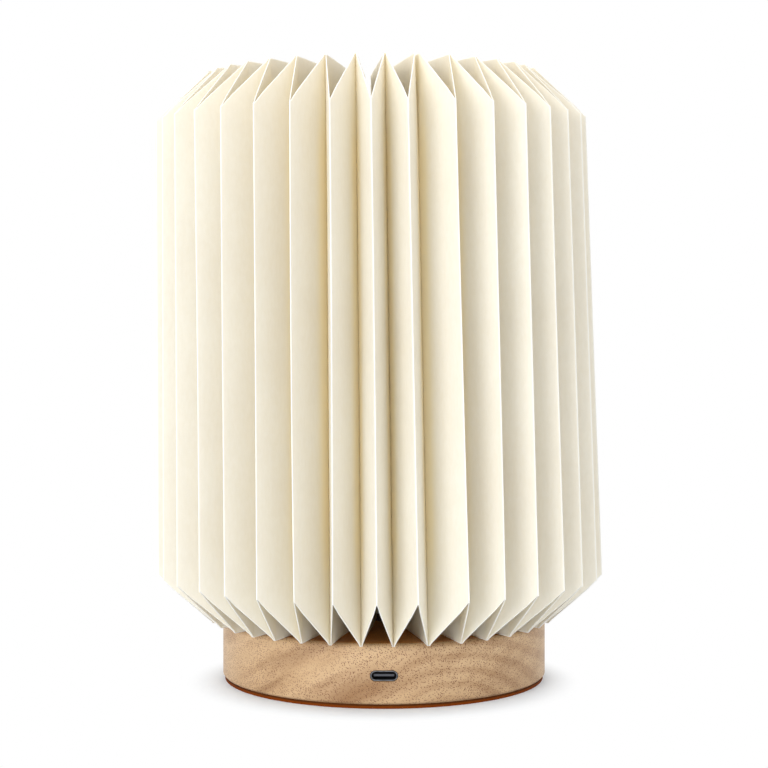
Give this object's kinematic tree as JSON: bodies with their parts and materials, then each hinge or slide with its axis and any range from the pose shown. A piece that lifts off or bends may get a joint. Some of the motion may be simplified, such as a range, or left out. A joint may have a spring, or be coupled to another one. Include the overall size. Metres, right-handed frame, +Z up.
{
  "type": "pleated paper table lamp",
  "caption": "Table lamp with a drum shade of deep folded paper pleats standing round a light column on a hollow round wooden base with a charging socket.",
  "frame": {"origin": "centre of the bottom cover's underside, on the surface that the lamp stands on", "axes": "+Z up along the axis of base, column and shade; the charging socket faces -Y; +X to the right seen from the socket's side"},
  "size_m": [0.157, 0.157, 0.2163],
  "materials": {
    "light_wood": "oiled light wood, close grain",
    "brown_board": "dark brown pressed board, matt",
    "screw_steel": "bright zinc plated",
    "socket_steel": "drawn steel, satin",
    "dark_insulator": "moulded, matt",
    "circuit_board": "green solder mask",
    "white_board": "white solder mask",
    "white_plastic": "moulded, matt",
    "ferrite": "sintered, dull",
    "cell_foil": "laminate foil, satin",
    "foam": "closed-cell foam",
    "lead_sleeve": "extruded lead insulation",
    "button_plastic": "moulded, matt dark brown",
    "frosted_plastic": "frosted, translucent",
    "led_chip": "phosphor coated",
    "paper": "uncoated ivory paper, creased",
    "clear_tape": "double-sided adhesive film"
  },
  "bodies": {
    "base": {"base_body": "light_wood", "bottom_cover": "brown_board", "cover_screws": "screw_steel", "usb_shell": "socket_steel", "usb_tongue": "dark_insulator", "main_board": "circuit_board", "board_spacers": "white_plastic", "board_screws": "screw_steel", "charge_chip": "dark_insulator", "power_coil": "ferrite", "lead_connectors": "white_plastic", "battery_cell": "cell_foil", "battery_pad": "foam", "battery_leads": "lead_sleeve", "switch_board": "circuit_board", "switch_body": "dark_insulator", "switch_leads": "lead_sleeve", "column_flange": "white_plastic", "flange_screws": "screw_steel", "diffuser_tube": "frosted_plastic", "tube_cap": "white_plastic", "led_board": "white_board", "led_chips": "led_chip", "led_leads": "lead_sleeve"},
    "shade": {"shade_sheet": "paper", "seam_tape": "clear_tape"},
    "button": {"switch_plunger": "dark_insulator", "switch_button": "button_plastic"}
  },
  "joints": [
    {"name": "shade_lift", "type": "slide", "parent": "base", "child": "shade", "axis": [0, 0, 1], "range_m": [0, 0.14]},
    {"name": "button_press", "type": "slide", "parent": "base", "child": "button", "axis": [0, -1, 0], "range_m": [0, 0.001], "stiffness_N_per_m": 600, "springref_m": -0.001}
  ]
}
